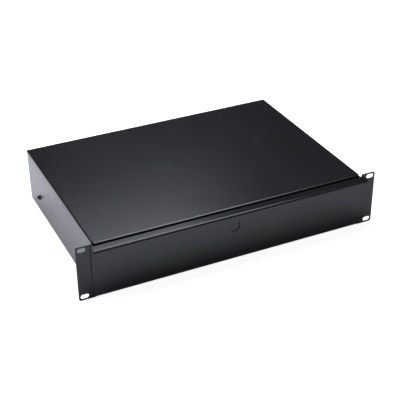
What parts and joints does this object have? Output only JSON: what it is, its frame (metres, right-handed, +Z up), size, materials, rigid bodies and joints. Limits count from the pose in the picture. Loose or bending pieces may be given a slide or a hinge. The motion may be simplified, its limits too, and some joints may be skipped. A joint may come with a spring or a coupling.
{
  "type": "sliding rack drawer",
  "caption": "Closed steel drawer for a 19 inch rack, two units high, with a full width pull lip, a lock knock-out and ball slides.",
  "frame": {"origin": "centre of the four rack slots, on the rear face of the ears that lies against the rack", "axes": "+X to the right seen from the front, +Y into the rack, +Z up"},
  "size_m": [0.4826, 0.3256, 0.0882],
  "materials": {
    "black_paint": "satin black powder coat",
    "zinc_plate": "bright zinc plate",
    "slide_steel": "zinc plated, drawn",
    "cage_steel": "plain pressed steel",
    "ball_steel": "polished",
    "bumper_rubber": "moulded",
    "lever_plastic": "moulded"
  },
  "bodies": {
    "case": {"cover": "black_paint", "left_side_panel": "black_paint", "right_side_panel": "black_paint", "case_base": "black_paint", "base_rivets": "black_paint", "rear_panel": "black_paint", "rear_screws": "black_paint", "rear_nuts": "zinc_plate", "slide_bolts": "zinc_plate", "slide_bolt_nuts": "zinc_plate", "left_outer_member": "slide_steel", "right_outer_member": "slide_steel", "left_rear_bumper": "bumper_rubber", "right_rear_bumper": "bumper_rubber"},
    "drawer": {"drawer_tray": "black_paint", "drawer_front": "black_paint", "front_nuts": "zinc_plate", "left_inner_member": "slide_steel", "right_inner_member": "slide_steel", "tray_screws": "zinc_plate", "lever_rivets": "zinc_plate"},
    "left_middle": {"left_middle_member": "slide_steel"},
    "left_outer_cage": {"left_outer_cage": "cage_steel", "left_outer_balls": "ball_steel"},
    "left_inner_cage": {"left_inner_cage": "cage_steel", "left_inner_balls": "ball_steel"},
    "left_lever": {"left_release_lever": "lever_plastic"},
    "right_middle": {"right_middle_member": "slide_steel"},
    "right_outer_cage": {"right_outer_cage": "cage_steel", "right_outer_balls": "ball_steel"},
    "right_inner_cage": {"right_inner_cage": "cage_steel", "right_inner_balls": "ball_steel"},
    "right_lever": {"right_release_lever": "lever_plastic"}
  },
  "joints": [
    {"name": "drawer_slide", "type": "slide", "parent": "case", "child": "drawer", "axis": [0, -1, 0], "range_m": [0, 0.3]},
    {"name": "left_middle_slide", "type": "slide", "parent": "case", "child": "left_middle", "axis": [0, -1, 0], "range_m": [0, 0.15]},
    {"name": "left_outer_cage_slide", "type": "slide", "parent": "case", "child": "left_outer_cage", "axis": [0, -1, 0], "range_m": [0, 0.075]},
    {"name": "left_inner_cage_slide", "type": "slide", "parent": "case", "child": "left_inner_cage", "axis": [0, -1, 0], "range_m": [0, 0.225]},
    {"name": "left_lever_hinge", "type": "hinge", "parent": "drawer", "child": "left_lever", "pos_m": [-0.2048, 0.15, -0.01805], "axis": [1, 0, 0], "range_deg": [0, 9], "stiffness_Nm_per_rad": 0.02, "springref_deg": -5.73},
    {"name": "right_middle_slide", "type": "slide", "parent": "case", "child": "right_middle", "axis": [0, -1, 0], "range_m": [0, 0.15]},
    {"name": "right_outer_cage_slide", "type": "slide", "parent": "case", "child": "right_outer_cage", "axis": [0, -1, 0], "range_m": [0, 0.075]},
    {"name": "right_inner_cage_slide", "type": "slide", "parent": "case", "child": "right_inner_cage", "axis": [0, -1, 0], "range_m": [0, 0.225]},
    {"name": "right_lever_hinge", "type": "hinge", "parent": "drawer", "child": "right_lever", "pos_m": [0.2048, 0.15, -0.01805], "axis": [1, 0, 0], "range_deg": [0, 9], "stiffness_Nm_per_rad": 0.02, "springref_deg": -5.73}
  ],
  "couplings": [
    {"joint": "left_middle_slide", "follows": "drawer_slide", "ratio": 0.5},
    {"joint": "left_outer_cage_slide", "follows": "drawer_slide", "ratio": 0.25},
    {"joint": "left_inner_cage_slide", "follows": "drawer_slide", "ratio": 0.75},
    {"joint": "right_middle_slide", "follows": "drawer_slide", "ratio": 0.5},
    {"joint": "right_outer_cage_slide", "follows": "drawer_slide", "ratio": 0.25},
    {"joint": "right_inner_cage_slide", "follows": "drawer_slide", "ratio": 0.75}
  ]
}
